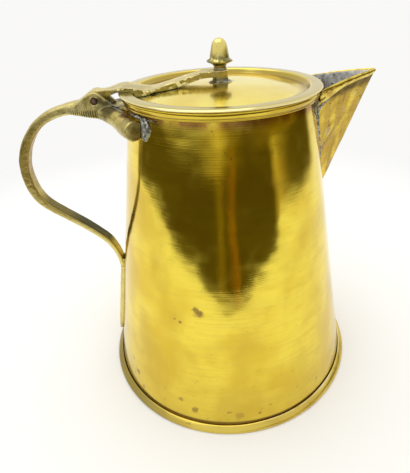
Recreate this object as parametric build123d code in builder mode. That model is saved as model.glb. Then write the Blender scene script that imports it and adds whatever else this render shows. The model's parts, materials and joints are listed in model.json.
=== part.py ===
from build123d import *
import math
import os

# Antique brass jug with a hinged lid: tapered sheet body, beak spout, S-shaped handle.
# Units are millimetres. The origin is the centre of the base's underside, +Z is up,
# the spout points along +X and the handle along -X.

# Body: one tapered sheet, standing in the base pan
BASE_RADIUS = 95.0
FOOT_RADIUS = 91.05
MOUTH_RADIUS = 54.8
PAN_SHEET = 1.5
BODY_SHEET = 1.0
MOUTH_Z = 203.4
PAN_LIP_Z = 6.3

# Collar round the mouth
COLLAR_Z = 198.6
COLLAR_BULGE = 58.9
BEAD_HEIGHT = 1.4

# Lid: flat rim, recess that drops into the mouth, low dome
LID_RADIUS = 59.8
LID_GAP = 0.3
LID_SHEET = 1.0
LID_RIM_Z = 205.1
RECESS_RADIUS = 52.4
RECESS_Z = 201.9
DOME_RADIUS = 45.0
DOME_Z = 206.2

# Hinge
PIN_X = -73.6
PIN_Z = 201.0
PIN_RADIUS = 2.0
PIN_CLEARANCE = 0.05
KNUCKLE_RADIUS = 5.0
KNUCKLE_WIDTH = 8.0
FORK_GAP = 0.3
HEAD_WIDTH = 16.0

# Strap over the lid
STRAP_WIDTH = 19.5
EYE_BOTTOM_Z = 209.4
EYE_TOP_Z = 213.0
EYE_RADIUS = 4.6

# Finial, its foot ring and the washer under the dome
STEM_RADIUS = 2.3
STEM_END_Z = 203.0
STEM_END_RADIUS = 3.6
WASHER_Z = 204.0
WASHER_RADIUS = 6.5
RING_RADIUS = 7.0
RING_TOP_RADIUS = 4.6
NECK_RADIUS = 4.0
NECK_Z = 214.6
BRIM_RADIUS = 7.7
BRIM_Z = 217.4
BRIM_EDGE = 1.0
NUT_RADIUS = 5.6
FINIAL_TOP_Z = 229.9

# Saddle, angles each side of the handle's plane
SADDLE_Z = 190.4
SADDLE_RADIUS = 5.1
SADDLE_STANDOFF = 3.0
SADDLE_REACH = 32.0
SADDLE_EDGE = 0.8

# Head of the handle, which carries the hinge
HEAD_TOP = [
    (-92.0, 197.6),
    (-84.0, 200.2),
    (-78.6, 203.6),
    (PIN_X, PIN_Z + 4.7),
    (PIN_X + 4.6, PIN_Z + 2.6),
    (-64.0, 198.2),
    (-59.5, 197.2),
]
HEAD_UNDER = [(-61.5, 186.4), (-70.0, 190.0), (-82.0, 192.6), (-92.0, 193.4)]
HEAD_REACH_X = -50.0
HEAD_SHOULDER_X = -80.0
HEAD_BACK_WIDTH = 8.0
SLOT_CLEARANCE = 0.5
SLOT_FLARE = 2.4
SLOT_HEIGHT = 9.0
SLOT_REACH = 20.0

# Handle bar
BAR_WIDTH = 9.0
BAR_THICKNESS = 5.6
BAR_EDGE = 1.2
TAIL_THICKNESS = 3.0
TAIL_TOP_Z = 88.0
TAIL_END_Z = 16.0
TAIL_TOP_WIDTH = 8.0
TAIL_WIDTH = 12.4

# Spout
KEEL_FOOT_Z = 133.0
SPOUT_TIP_X = 94.6
SPOUT_TIP_Z = 208.2
SPOUT_SHEET = 1.2
SPOUT_HALF_ANGLE = 28.5
WING_END_X = 50.4
WING_END_Z = 200.4
HEM_HEIGHT = 6.0
HEM_TIP_HEIGHT = 2.4
EDGE_CROWN = 1.5
STRAINER_RADIUS = 2.25
STRAINER_ROWS = 4
STRAINER_TOP_Z = 187.0
STRAINER_ROW_PITCH = 10.0
STRAINER_HOLE_PITCH = 9.0

os.makedirs("parts", exist_ok=True)


def body_radius(z):
    """Outer radius of the tapered wall at height z."""
    share = (z - PAN_SHEET) / (MOUTH_Z - PAN_SHEET)
    return FOOT_RADIUS + (MOUTH_RADIUS - FOOT_RADIUS) * share


def finish(piece, label):
    """Name a finished piece and write it out."""
    piece.part.label = label
    export_step(piece.part, f"parts/{label}.step")


# The body filled solid, used to trim what is soldered against it
with BuildPart() as body_core:
    with BuildSketch(Plane.XZ):
        with BuildLine():
            Polyline(
                (0, PAN_SHEET),
                (FOOT_RADIUS, PAN_SHEET),
                (MOUTH_RADIUS, MOUTH_Z),
                (0, MOUTH_Z),
                close=True,
            )
        make_face()
    revolve(axis=Axis.Z)

# Body wall: sheet of even thickness, with a pierced strainer behind the spout
with BuildPart() as body_wall:
    with BuildSketch(Plane.XZ):
        with BuildLine():
            Polyline(
                (FOOT_RADIUS - BODY_SHEET, PAN_SHEET),
                (FOOT_RADIUS, PAN_SHEET),
                (MOUTH_RADIUS, MOUTH_Z),
                (MOUTH_RADIUS - BODY_SHEET, MOUTH_Z),
                close=True,
            )
        make_face()
    revolve(axis=Axis.Z)
    for row in range(STRAINER_ROWS):
        row_z = STRAINER_TOP_Z - STRAINER_ROW_PITCH * row
        holes = STRAINER_ROWS - row
        for place in range(holes):
            hole_y = (place - (holes - 1) / 2) * STRAINER_HOLE_PITCH
            with BuildSketch(Plane.YZ):
                with Locations((hole_y, row_z)):
                    Circle(STRAINER_RADIUS)
            extrude(amount=BASE_RADIUS, mode=Mode.SUBTRACT)
finish(body_wall, "body_wall")

# Base pan: flat floor whose edge is turned up and folded in towards the wall
with BuildPart() as base_pan:
    with BuildSketch(Plane.XZ):
        with BuildLine():
            Line((0, 0), (BASE_RADIUS - 1.2, 0))
            ThreePointArc(
                (BASE_RADIUS - 1.2, 0),
                (BASE_RADIUS - 0.3, 0.35),
                (BASE_RADIUS, 1.3),
            )
            ThreePointArc(
                (BASE_RADIUS, 1.3),
                (BASE_RADIUS - 0.8, 4.0),
                (BASE_RADIUS - 2.7, PAN_LIP_Z - 0.3),
            )
            ThreePointArc(
                (BASE_RADIUS - 2.7, PAN_LIP_Z - 0.3),
                (BASE_RADIUS - 3.3, PAN_LIP_Z),
                (BASE_RADIUS - 3.9, PAN_LIP_Z - 0.3),
            )
            Polyline(
                (BASE_RADIUS - 3.9, PAN_LIP_Z - 0.3),
                (BASE_RADIUS - 3.9, PAN_SHEET),
                (0, PAN_SHEET),
                (0, 0),
            )
        make_face()
    revolve(axis=Axis.Z)
finish(base_pan, "base_pan")

# Collar: convex band soldered round the mouth, with a bead along its lower edge
with BuildPart() as rim_collar:
    with BuildSketch(Plane.XZ):
        with BuildLine():
            Line((body_radius(COLLAR_Z), COLLAR_Z), (COLLAR_BULGE - 1.9, COLLAR_Z))
            ThreePointArc(
                (COLLAR_BULGE - 1.9, COLLAR_Z),
                (COLLAR_BULGE - 1.15, COLLAR_Z + BEAD_HEIGHT / 2),
                (COLLAR_BULGE - 1.5, COLLAR_Z + BEAD_HEIGHT),
            )
            ThreePointArc(
                (COLLAR_BULGE - 1.5, COLLAR_Z + BEAD_HEIGHT),
                (COLLAR_BULGE, COLLAR_Z + 3.1),
                (COLLAR_BULGE - 1.1, MOUTH_Z),
            )
            Polyline(
                (COLLAR_BULGE - 1.1, MOUTH_Z),
                (MOUTH_RADIUS, MOUTH_Z),
                (body_radius(COLLAR_Z), COLLAR_Z),
            )
        make_face()
    revolve(axis=Axis.Z)
finish(rim_collar, "rim_collar")

# Spout: a V of folded sheet. Every level cut is the same wedge, moved along the keel.
KEEL_FOOT_X = body_radius(KEEL_FOOT_Z)
KEEL_SLOPE = (SPOUT_TIP_X - KEEL_FOOT_X) / (SPOUT_TIP_Z - KEEL_FOOT_Z)
WEDGE_Z = 110.0
WEDGE_TOP_Z = 212.0
WEDGE_LENGTH = 75.0


def wedge(half_angle, setback):
    """Level wedge pushed up along the keel; setback moves its point back towards the body."""
    point_x = SPOUT_TIP_X - KEEL_SLOPE * (SPOUT_TIP_Z - WEDGE_Z) - setback
    half_width = WEDGE_LENGTH * math.tan(math.radians(half_angle))
    climb = WEDGE_TOP_Z - WEDGE_Z
    with BuildPart() as solid:
        with BuildSketch(Plane.XY.offset(WEDGE_Z)):
            with BuildLine():
                Polyline(
                    (point_x, 0),
                    (point_x - WEDGE_LENGTH, half_width),
                    (point_x - WEDGE_LENGTH, -half_width),
                    close=True,
                )
            make_face()
        extrude(amount=climb * math.hypot(1, KEEL_SLOPE), dir=(KEEL_SLOPE, 0, 1))
    return solid.part


def edge_z(x, drop=0.0):
    """Height of the spout's top edge over x, lowered by drop at its body end."""
    low = WING_END_Z - drop
    high = SPOUT_TIP_Z - min(drop, HEM_TIP_HEIGHT)
    slope = (high - low) / (SPOUT_TIP_X - WING_END_X)
    return low + slope * (x - WING_END_X)


def below_edge(drop=0.0):
    """Everything under the spout's top edge, as a block with a sloping, slightly crowned top."""
    near, far = WING_END_X - 20, SPOUT_TIP_X + 10
    middle = (WING_END_X + SPOUT_TIP_X) / 2
    with BuildPart() as block:
        with BuildSketch(Plane.XZ):
            with BuildLine():
                ThreePointArc(
                    (near, edge_z(near, drop) - EDGE_CROWN),
                    (middle, edge_z(middle, drop) + EDGE_CROWN),
                    (far, edge_z(far, drop) - EDGE_CROWN / 2),
                )
                Polyline(
                    (far, edge_z(far, drop) - EDGE_CROWN / 2),
                    (far, WEDGE_Z),
                    (near, WEDGE_Z),
                    (near, edge_z(near, drop) - EDGE_CROWN),
                )
            make_face()
        extrude(amount=60, both=True)
    return block.part


with BuildPart() as mouth_room:
    with BuildSketch(Plane.XY.offset(COLLAR_Z - 0.2)):
        Circle(COLLAR_BULGE + 0.1)
    extrude(amount=20)

INNER_SETBACK = SPOUT_SHEET / math.sin(math.radians(SPOUT_HALF_ANGLE))

with BuildPart() as spout:
    add(wedge(SPOUT_HALF_ANGLE, 0))
    add(wedge(SPOUT_HALF_ANGLE, INNER_SETBACK), mode=Mode.SUBTRACT)
    add(below_edge(), mode=Mode.INTERSECT)
    add(body_core.part, mode=Mode.SUBTRACT)
    add(mouth_room.part, mode=Mode.SUBTRACT)
finish(spout, "spout")

# Hems: the top edge of each wing folded out and down, broad at the body, fine at the tip
for side, label in ((1, "spout_hem_left"), (-1, "spout_hem_right")):
    with BuildPart() as hem:
        add(wedge(SPOUT_HALF_ANGLE + 1.6, 0))
        add(wedge(SPOUT_HALF_ANGLE, 0), mode=Mode.SUBTRACT)
        add(below_edge(), mode=Mode.INTERSECT)
        add(below_edge(HEM_HEIGHT), mode=Mode.SUBTRACT)
        add(body_core.part, mode=Mode.SUBTRACT)
        add(mouth_room.part, mode=Mode.SUBTRACT)
        keep = Keep.TOP if side > 0 else Keep.BOTTOM
        split(bisect_by=Plane.XZ.rotated((180, 0, 0)), keep=keep)
    finish(hem, label)

# Handle bar: stations on its middle line, from the head round the loop to the tail
BAR_LINE = [
    (-84.0, 196.6, 1.3),
    (-95.5, 195.2, 1.0),
    (-106.5, 190.9, 0.95),
    (-117.3, 180.7, 0.95),
    (-124.0, 167.2, 1.0),
    (-125.4, 155.0, 1.0),
    (-121.8, 140.2, 0.95),
    (-111.1, 128.9, 0.8),
    (-94.3, 114.6, 0.72),
    (-84.2, 103.4, 0.68),
    (-79.6, 93.0, 0.62),
    (-78.3, 82.0, 0.55),
]


def bar_sides():
    """The bar's outer and inner outline, offset square to its middle line."""
    outer, inner = [], []
    last = len(BAR_LINE) - 1
    for index, (x, z, share) in enumerate(BAR_LINE):
        x_before, z_before, _ = BAR_LINE[max(index - 1, 0)]
        x_after, z_after, _ = BAR_LINE[min(index + 1, last)]
        length = math.hypot(x_after - x_before, z_after - z_before)
        across_x = (z_after - z_before) / length
        across_z = -(x_after - x_before) / length
        half = BAR_THICKNESS * share / 2
        outer.append((x + across_x * half, z + across_z * half))
        inner.append((x - across_x * half, z - across_z * half))
    return outer, inner


bar_outer, bar_inner = bar_sides()

# Slot for the strap's knuckle, open to the front and the top
slot_radius = KNUCKLE_RADIUS + SLOT_CLEARANCE

with BuildPart() as slot:
    with BuildSketch(Plane.XZ):
        with BuildLine():
            Polyline(
                (PIN_X - slot_radius, PIN_Z),
                (PIN_X - slot_radius - SLOT_FLARE, PIN_Z + SLOT_HEIGHT),
                (PIN_X + SLOT_REACH, PIN_Z + SLOT_HEIGHT),
                (PIN_X + SLOT_REACH, PIN_Z - slot_radius + SLOT_FLARE),
                (PIN_X, PIN_Z - slot_radius),
            )
            ThreePointArc(
                (PIN_X, PIN_Z - slot_radius),
                (PIN_X - slot_radius * math.sqrt(0.5), PIN_Z - slot_radius * math.sqrt(0.5)),
                (PIN_X - slot_radius, PIN_Z),
            )
        make_face()
    extrude(amount=KNUCKLE_WIDTH / 2 + FORK_GAP, both=True)

# Head: deep cheeks round the pin, running forward and down to the wall
with BuildPart() as head:
    with BuildSketch(Plane.XZ):
        with BuildLine():
            Spline(*HEAD_TOP)
            Polyline(
                HEAD_TOP[-1],
                (HEAD_REACH_X, HEAD_TOP[-1][1]),
                (HEAD_REACH_X, HEAD_UNDER[0][1]),
                HEAD_UNDER[0],
            )
            Spline(*HEAD_UNDER)
            Line(HEAD_UNDER[-1], HEAD_TOP[0])
        make_face()
    extrude(amount=HEAD_WIDTH / 2, both=True)
    with BuildSketch(Plane.XY.offset(HEAD_UNDER[0][1])):
        with BuildLine():
            Polyline(
                (HEAD_TOP[0][0], HEAD_BACK_WIDTH / 2),
                (HEAD_SHOULDER_X, HEAD_WIDTH / 2),
                (HEAD_REACH_X, HEAD_WIDTH / 2),
                (HEAD_REACH_X, -HEAD_WIDTH / 2),
                (HEAD_SHOULDER_X, -HEAD_WIDTH / 2),
                (HEAD_TOP[0][0], -HEAD_BACK_WIDTH / 2),
                close=True,
            )
        make_face()
    extrude(amount=MOUTH_Z - HEAD_UNDER[0][1] + SLOT_HEIGHT, mode=Mode.INTERSECT)
    add(slot.part, mode=Mode.SUBTRACT)
    with BuildSketch(Plane.XZ):
        with Locations((PIN_X, PIN_Z)):
            Circle(PIN_RADIUS)
    extrude(amount=HEAD_WIDTH, both=True, mode=Mode.SUBTRACT)

# Saddle: round bar that wraps the back of the wall, its two ends cut off square
with BuildPart() as saddle:
    with BuildSketch(Plane.XZ):
        with Locations((-body_radius(SADDLE_Z) - SADDLE_STANDOFF, SADDLE_Z)):
            Circle(SADDLE_RADIUS)
    revolve(axis=Axis.Z, revolution_arc=2 * SADDLE_REACH)
    cut_ends = saddle.faces().filter_by(GeomType.PLANE)
    fillet(cut_ends.edges(), radius=SADDLE_EDGE)

with BuildPart() as handle:
    with BuildSketch(Plane.XZ):
        with BuildLine():
            Spline(*bar_outer)
            Spline(*bar_inner)
            Line(bar_outer[0], bar_inner[0])
            Line(bar_outer[-1], bar_inner[-1])
        make_face()
    extrude(amount=BAR_WIDTH / 2, both=True)
    long_edges = handle.edges().filter_by(GeomType.BSPLINE)
    fillet(long_edges, radius=BAR_EDGE)
    # Tail: the bar flattened into a leaf that lies along the wall
    lean = math.atan((FOOT_RADIUS - MOUTH_RADIUS) / (MOUTH_Z - PAN_SHEET))
    leaf_z = (TAIL_END_Z + TAIL_TOP_Z) / 2
    leaf_half = (TAIL_TOP_Z - TAIL_END_Z) / 2
    leaf_plane = Plane(
        origin=(-body_radius(leaf_z), 0, leaf_z),
        x_dir=(0, -1, 0),
        z_dir=(-math.cos(lean), 0, math.sin(lean)),
    )
    with BuildSketch(leaf_plane):
        with BuildLine():
            leaf_side = Spline(
                (TAIL_TOP_WIDTH / 2, leaf_half),
                (TAIL_WIDTH / 2 - 1.6, leaf_half * 0.5),
                (TAIL_WIDTH / 2, -leaf_half * 0.3),
                (TAIL_WIDTH / 2 - 1.3, -leaf_half * 0.85),
                (0, -leaf_half),
                tangents=[(0, -1), (-1, 0)],
            )
            mirror(leaf_side, about=Plane.YZ)
            Line((TAIL_TOP_WIDTH / 2, leaf_half), (-TAIL_TOP_WIDTH / 2, leaf_half))
        make_face()
    extrude(amount=TAIL_THICKNESS, both=True)
    add(head.part)
    add(saddle.part.rotate(Axis.Z, -SADDLE_REACH))
    add(body_core.part, mode=Mode.SUBTRACT)
finish(handle, "handle")

# Hinge pin: iron, its ends spread a little proud of the cheeks
with BuildPart() as hinge_pin:
    with BuildSketch(Plane.XZ):
        with Locations((PIN_X, PIN_Z)):
            Circle(PIN_RADIUS)
    extrude(amount=HEAD_WIDTH / 2 + 0.4, both=True)
    chamfer(hinge_pin.edges().filter_by(GeomType.CIRCLE), length=0.35)
finish(hinge_pin, "hinge_pin")

# Lid: rim ring, wall and floor of the recess, low dome, all one raised sheet
DOME_SAG = DOME_Z - RECESS_Z
DOME_MID = (DOME_RADIUS / 2, RECESS_Z + DOME_SAG * 0.75)
UNDER_Z = MOUTH_Z + LID_GAP

with BuildPart() as lid_plate:
    with BuildSketch(Plane.XZ):
        with BuildLine():
            Line((0, DOME_Z), (0, DOME_Z - LID_SHEET))
            ThreePointArc(
                (0, DOME_Z - LID_SHEET),
                (DOME_MID[0], DOME_MID[1] - LID_SHEET),
                (DOME_RADIUS, RECESS_Z - LID_SHEET),
            )
            Polyline(
                (DOME_RADIUS, RECESS_Z - LID_SHEET),
                (RECESS_RADIUS - 0.8, RECESS_Z - LID_SHEET),
                (RECESS_RADIUS + LID_SHEET, UNDER_Z),
                (LID_RADIUS - 0.7, UNDER_Z),
            )
            ThreePointArc(
                (LID_RADIUS - 0.7, UNDER_Z),
                (LID_RADIUS, (UNDER_Z + LID_RIM_Z) / 2),
                (LID_RADIUS - 0.7, LID_RIM_Z),
            )
            Polyline(
                (LID_RADIUS - 0.7, LID_RIM_Z),
                (RECESS_RADIUS + 0.4, LID_RIM_Z),
                (RECESS_RADIUS - 1.2, RECESS_Z),
                (DOME_RADIUS, RECESS_Z),
            )
            ThreePointArc((DOME_RADIUS, RECESS_Z), DOME_MID, (0, DOME_Z))
        make_face()
    revolve(axis=Axis.Z)
    with BuildSketch(Plane.XY.offset(DOME_Z - 10)):
        Circle(STEM_RADIUS)
    extrude(amount=20, mode=Mode.SUBTRACT)
finish(lid_plate, "lid_plate")

# Strap: waved bar from the hinge knuckle, over the rim and up the dome to the finial
STRAP_TOP = [
    (PIN_X, PIN_Z + KNUCKLE_RADIUS),
    (-66.0, 206.1),
    (-58.0, 207.5),
    (-50.0, 206.7),
    (-42.5, 205.4),
    (-32.0, 207.2),
    (-23.0, 209.5),
    (-13.0, 212.3),
    (-5.0, EYE_TOP_Z),
]
STRAP_UNDER = [
    (PIN_X + 4.4, PIN_Z - 2.2),
    (-66.0, 201.9),
    (LID_RADIUS * -1.0, LID_RIM_Z),
    (-53.4, LID_RIM_Z),
]

with BuildPart() as hinge_strap:
    with BuildSketch(Plane.XZ):
        with BuildLine():
            Spline(*STRAP_TOP, tangents=[(1, 0), (1, 0)])
            Polyline(STRAP_TOP[-1], (0, EYE_TOP_Z), (0, EYE_BOTTOM_Z), (-6.0, EYE_BOTTOM_Z))
            Spline(
                (-6.0, EYE_BOTTOM_Z),
                (-12.0, 208.9),
                (-21.0, 206.6),
                (-29.0, 204.6),
                tangents=[(-1, 0), (-1, -0.2)],
            )
            ThreePointArc((-29.0, 204.6), (-36.0, 204.0), (-44.0, RECESS_Z + 0.4))
            Polyline((-44.0, RECESS_Z + 0.4), (-49.5, RECESS_Z), STRAP_UNDER[3], STRAP_UNDER[2])
            Spline(STRAP_UNDER[2], STRAP_UNDER[1], STRAP_UNDER[0])
            Line(STRAP_UNDER[0], (PIN_X, PIN_Z))
            Line((PIN_X, PIN_Z), STRAP_TOP[0])
        make_face()
    extrude(amount=STRAP_WIDTH, both=True)
    with BuildSketch(Plane.XY.offset(PIN_Z - 10)):
        with BuildLine():
            strap_side = Polyline(
                (PIN_X, KNUCKLE_WIDTH / 2),
                (-67.5, KNUCKLE_WIDTH / 2),
            )
            strap_curve = Spline(
                (-67.5, KNUCKLE_WIDTH / 2),
                (-60.5, STRAP_WIDTH / 2 - 0.6),
                (-56.0, STRAP_WIDTH / 2),
                (-36.0, 7.4),
                (-14.0, 5.6),
                (0, EYE_RADIUS),
                tangents=[(1, 0.4), (1, 0)],
            )
            mirror(strap_side, about=Plane.XZ)
            mirror(strap_curve, about=Plane.XZ)
            Line((PIN_X, KNUCKLE_WIDTH / 2), (PIN_X, -KNUCKLE_WIDTH / 2))
            Line((0, EYE_RADIUS), (0, -EYE_RADIUS))
        make_face()
    extrude(amount=40, mode=Mode.INTERSECT)
    with BuildSketch(Plane.XY.offset(EYE_BOTTOM_Z)):
        Circle(EYE_RADIUS)
    extrude(amount=EYE_TOP_Z - EYE_BOTTOM_Z)
    with BuildSketch(Plane.XZ):
        with Locations((PIN_X, PIN_Z)):
            Circle(KNUCKLE_RADIUS)
    extrude(amount=KNUCKLE_WIDTH / 2, both=True)
    with BuildSketch(Plane.XZ):
        with Locations((PIN_X, PIN_Z)):
            Circle(PIN_RADIUS + PIN_CLEARANCE)
    extrude(amount=STRAP_WIDTH, both=True, mode=Mode.SUBTRACT)
    with BuildSketch(Plane.XY.offset(EYE_BOTTOM_Z - 5)):
        Circle(STEM_RADIUS)
    extrude(amount=20, mode=Mode.SUBTRACT)
    add(lid_plate.part, mode=Mode.SUBTRACT)
finish(hinge_strap, "hinge_strap")

# Finial foot: flared ring between the dome and the strap's eye
with BuildPart() as finial_foot:
    with BuildSketch(Plane.XZ):
        with BuildLine():
            ThreePointArc(
                (RING_RADIUS, DOME_Z - 0.15),
                (RING_TOP_RADIUS + 0.5, (DOME_Z + EYE_BOTTOM_Z) / 2 - 0.3),
                (RING_TOP_RADIUS, EYE_BOTTOM_Z),
            )
            Polyline(
                (RING_TOP_RADIUS, EYE_BOTTOM_Z),
                (STEM_RADIUS, EYE_BOTTOM_Z),
                (STEM_RADIUS, DOME_Z - 0.4),
                (RING_RADIUS, DOME_Z - 0.4),
                (RING_RADIUS, DOME_Z - 0.15),
            )
        make_face()
    revolve(axis=Axis.Z)
    add(lid_plate.part, mode=Mode.SUBTRACT)
finish(finial_foot, "finial_foot")

# Finial: acorn on a waisted neck, its stem through the eye, the foot and the lid
with BuildPart() as finial:
    with BuildSketch(Plane.XZ):
        with BuildLine():
            Polyline(
                (0, STEM_END_Z),
                (STEM_END_RADIUS, STEM_END_Z),
                (STEM_END_RADIUS, WASHER_Z),
                (STEM_RADIUS, WASHER_Z),
                (STEM_RADIUS, EYE_TOP_Z),
                (NECK_RADIUS, EYE_TOP_Z),
            )
            Spline(
                (NECK_RADIUS, EYE_TOP_Z),
                (NECK_RADIUS - 0.4, NECK_Z),
                (BRIM_RADIUS - 2.3, BRIM_Z - BRIM_EDGE),
                (BRIM_RADIUS, BRIM_Z),
                tangents=[(0, 1), (1, 0.3)],
            )
            ThreePointArc(
                (BRIM_RADIUS, BRIM_Z),
                (BRIM_RADIUS + 0.1, BRIM_Z + BRIM_EDGE * 0.6),
                (BRIM_RADIUS - 0.5, BRIM_Z + BRIM_EDGE),
            )
            Line((BRIM_RADIUS - 0.5, BRIM_Z + BRIM_EDGE), (NUT_RADIUS, BRIM_Z + 1.4))
            Spline(
                (NUT_RADIUS, BRIM_Z + 1.4),
                (NUT_RADIUS - 0.3, BRIM_Z + 4.0),
                (NUT_RADIUS - 0.8, FINIAL_TOP_Z - 5.7),
                (NUT_RADIUS - 1.6, FINIAL_TOP_Z - 2.6),
                (NUT_RADIUS - 3.2, FINIAL_TOP_Z - 0.6),
                (0, FINIAL_TOP_Z),
                tangents=[(0, 1), (-1, 0)],
            )
            Line((0, FINIAL_TOP_Z), (0, STEM_END_Z))
        make_face()
    revolve(axis=Axis.Z)
finish(finial, "finial")

# Washer under the dome, held by the spread end of the finial's stem
with BuildPart() as finial_washer:
    with BuildSketch(Plane.XY.offset(WASHER_Z)):
        Circle(WASHER_RADIUS)
        Circle(STEM_RADIUS, mode=Mode.SUBTRACT)
    extrude(amount=DOME_Z - LID_SHEET - WASHER_Z + 0.5)
    add(lid_plate.part, mode=Mode.SUBTRACT)
finish(finial_washer, "finial_washer")
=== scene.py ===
import json
import math

import bpy
from mathutils import Matrix, Vector

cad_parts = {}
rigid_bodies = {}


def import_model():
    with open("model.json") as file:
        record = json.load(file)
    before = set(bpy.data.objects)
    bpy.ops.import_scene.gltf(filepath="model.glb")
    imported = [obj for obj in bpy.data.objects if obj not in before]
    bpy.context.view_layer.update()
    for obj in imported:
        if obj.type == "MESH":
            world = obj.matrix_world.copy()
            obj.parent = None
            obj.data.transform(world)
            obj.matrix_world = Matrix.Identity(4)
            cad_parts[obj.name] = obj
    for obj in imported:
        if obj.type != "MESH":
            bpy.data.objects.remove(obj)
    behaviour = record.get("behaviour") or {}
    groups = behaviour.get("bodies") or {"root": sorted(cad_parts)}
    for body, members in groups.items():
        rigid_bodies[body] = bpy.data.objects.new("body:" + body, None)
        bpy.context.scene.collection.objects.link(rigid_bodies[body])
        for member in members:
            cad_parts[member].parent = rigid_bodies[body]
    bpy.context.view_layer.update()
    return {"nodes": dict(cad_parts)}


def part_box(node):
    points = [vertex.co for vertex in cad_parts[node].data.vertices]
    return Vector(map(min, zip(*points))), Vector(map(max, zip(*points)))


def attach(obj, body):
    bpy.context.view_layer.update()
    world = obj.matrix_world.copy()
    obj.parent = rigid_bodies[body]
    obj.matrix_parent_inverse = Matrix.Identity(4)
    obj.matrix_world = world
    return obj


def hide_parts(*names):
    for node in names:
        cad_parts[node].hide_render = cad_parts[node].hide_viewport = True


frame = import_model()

bpy.ops.object.select_all(action="DESELECT")


# Base pan: a disc of sheet brass that the jug stands on. Its edge is turned up by hand and
# beaten in against the wall, so the lip wanders and a thin dark line shows behind it; painted
# shade on the wall just above the lip deepens that line.
MM = 0.001
PAN_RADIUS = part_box("base_pan")[1][0] / MM
PAN_SHEET = 1.5
PAN_OUTLINE = [
    (PAN_RADIUS - 0.3, 0.35),
    (PAN_RADIUS - 0.05, 1.3),
    (PAN_RADIUS - 0.35, 2.2),
    (PAN_RADIUS - 1.2, 3.3),
    (PAN_RADIUS - 2.4, 4.4),
    (PAN_RADIUS - 3.3, 5.1),
    (PAN_RADIUS - 3.7, 5.35),
    (PAN_RADIUS - 4.1, 5.3),
    (PAN_RADIUS - 4.35, 4.9),
    (PAN_RADIUS - 4.3, 4.2),
    (PAN_RADIUS - 3.9, PAN_SHEET),
]
LIP_SAG = 1.3
LIP_SAG_AZIMUTH = math.radians(-118)
SHEET_BRIGHT = (0.86, 0.68, 0.08)
SHEET_WARM = (0.68, 0.46, 0.035)
# Dark dirt colour, also used for the painted shadow under the spout's hems.
DIRT_AND_SHADOW = (0.085, 0.055, 0.02)


def start_ring(name, radius, height, sides=160, filled=False):
    """Begin a turned piece as a ring of the given radius at the given height, in mm."""
    bpy.ops.object.select_all(action="DESELECT")
    bpy.ops.mesh.primitive_circle_add(
        vertices=sides,
        radius=radius * MM,
        location=(0, 0, height * MM),
        fill_type="NGON" if filled else "NOTHING",
    )
    piece = bpy.context.object
    piece.name = name
    bpy.ops.object.transform_apply(location=True)
    bpy.ops.object.mode_set(mode="EDIT")
    bpy.ops.mesh.select_all(action="SELECT")
    return piece


def draw_rings(start, outline):
    """Draw the open ring out through each radius and height of the outline."""
    radius, height = start
    for next_radius, next_height in outline:
        bpy.ops.mesh.extrude_region_move(
            TRANSFORM_OT_translate={"value": (0, 0, (next_height - height) * MM)}
        )
        share = next_radius / radius
        bpy.ops.transform.resize(
            value=(share, share, 1), center_override=(0, 0, next_height * MM)
        )
        radius, height = next_radius, next_height


def close_piece(piece):
    """Merge the seams of a finished shell and turn its faces outwards."""
    bpy.ops.mesh.select_all(action="SELECT")
    bpy.ops.mesh.remove_doubles(threshold=1e-6)
    bpy.ops.mesh.normals_make_consistent(inside=False)
    bpy.ops.object.mode_set(mode="OBJECT")


def hand_work(piece, lump, depth, direction="NORMAL", region=""):
    """Give a piece the shallow unevenness of hand work, in lumps of the given size."""
    lumps = bpy.data.textures.new("lumps", "CLOUDS")
    lumps.noise_scale = lump * MM
    swell = piece.modifiers.new("hand work", "DISPLACE")
    swell.texture = lumps
    swell.texture_coords = "LOCAL"
    swell.direction = direction
    swell.strength = depth * MM
    swell.mid_level = 0.5
    swell.vertex_group = region
    bpy.ops.object.modifier_apply(modifier=swell.name)


def mark_region(piece, name, wanted):
    """Name the points of a piece whose place passes a test."""
    group = piece.vertex_groups.new(name=name)
    group.add([point.index for point in piece.data.vertices if wanted(point.co)], 1.0, "REPLACE")


def metal(name, colour, roughness):
    """Start a plain metal finish, which the other helpers lay detail over."""
    finish = bpy.data.materials.new(name)
    finish.use_nodes = True
    shader = finish.node_tree.nodes["Principled BSDF"]
    shader.inputs["Metallic"].default_value = 1.0
    shader.inputs["Base Color"].default_value = (*colour, 1)
    shader.inputs["Roughness"].default_value = roughness
    return finish


def own_place(finish, stretch=(1, 1, 1), start=(0, 0, 0)):
    """The piece's own coordinates, in millimetres, stretched or started elsewhere."""
    tree = finish.node_tree
    coordinates = tree.nodes.new("ShaderNodeTexCoord")
    mapping = tree.nodes.new("ShaderNodeMapping")
    mapping.inputs["Scale"].default_value = [share / MM for share in stretch]
    mapping.inputs["Location"].default_value = start
    tree.links.new(coordinates.outputs["Object"], mapping.inputs["Vector"])
    return mapping.outputs["Vector"]


def patches(finish, size, low, high, stretch=(1, 1, 1), start=(0, 0, 0), detail=4.0):
    """Cloudy patches of the given size: 0 below the low level and 1 above the high one."""
    tree = finish.node_tree
    noise = tree.nodes.new("ShaderNodeTexNoise")
    noise.inputs["Scale"].default_value = 1 / size
    noise.inputs["Detail"].default_value = detail
    tree.links.new(own_place(finish, stretch, start), noise.inputs["Vector"])
    return between(finish, noise.outputs["Fac"], low, high)


def between(finish, value, low, high):
    """Turn a value into a share that runs from 0 at low to 1 at high."""
    tree = finish.node_tree
    ramp = tree.nodes.new("ShaderNodeMapRange")
    ramp.interpolation_type = "SMOOTHSTEP"
    ramp.inputs["From Min"].default_value = low
    ramp.inputs["From Max"].default_value = high
    tree.links.new(value, ramp.inputs["Value"])
    return ramp.outputs["Result"]


def combine(finish, operation, first, second):
    """Work out one value from two, or from a value and a number."""
    tree = finish.node_tree
    sum_up = tree.nodes.new("ShaderNodeMath")
    sum_up.operation = operation
    for socket, value in zip(sum_up.inputs, (first, second)):
        if isinstance(value, (int, float)):
            socket.default_value = value
        else:
            tree.links.new(value, socket)
    return sum_up.outputs["Value"]


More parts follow.
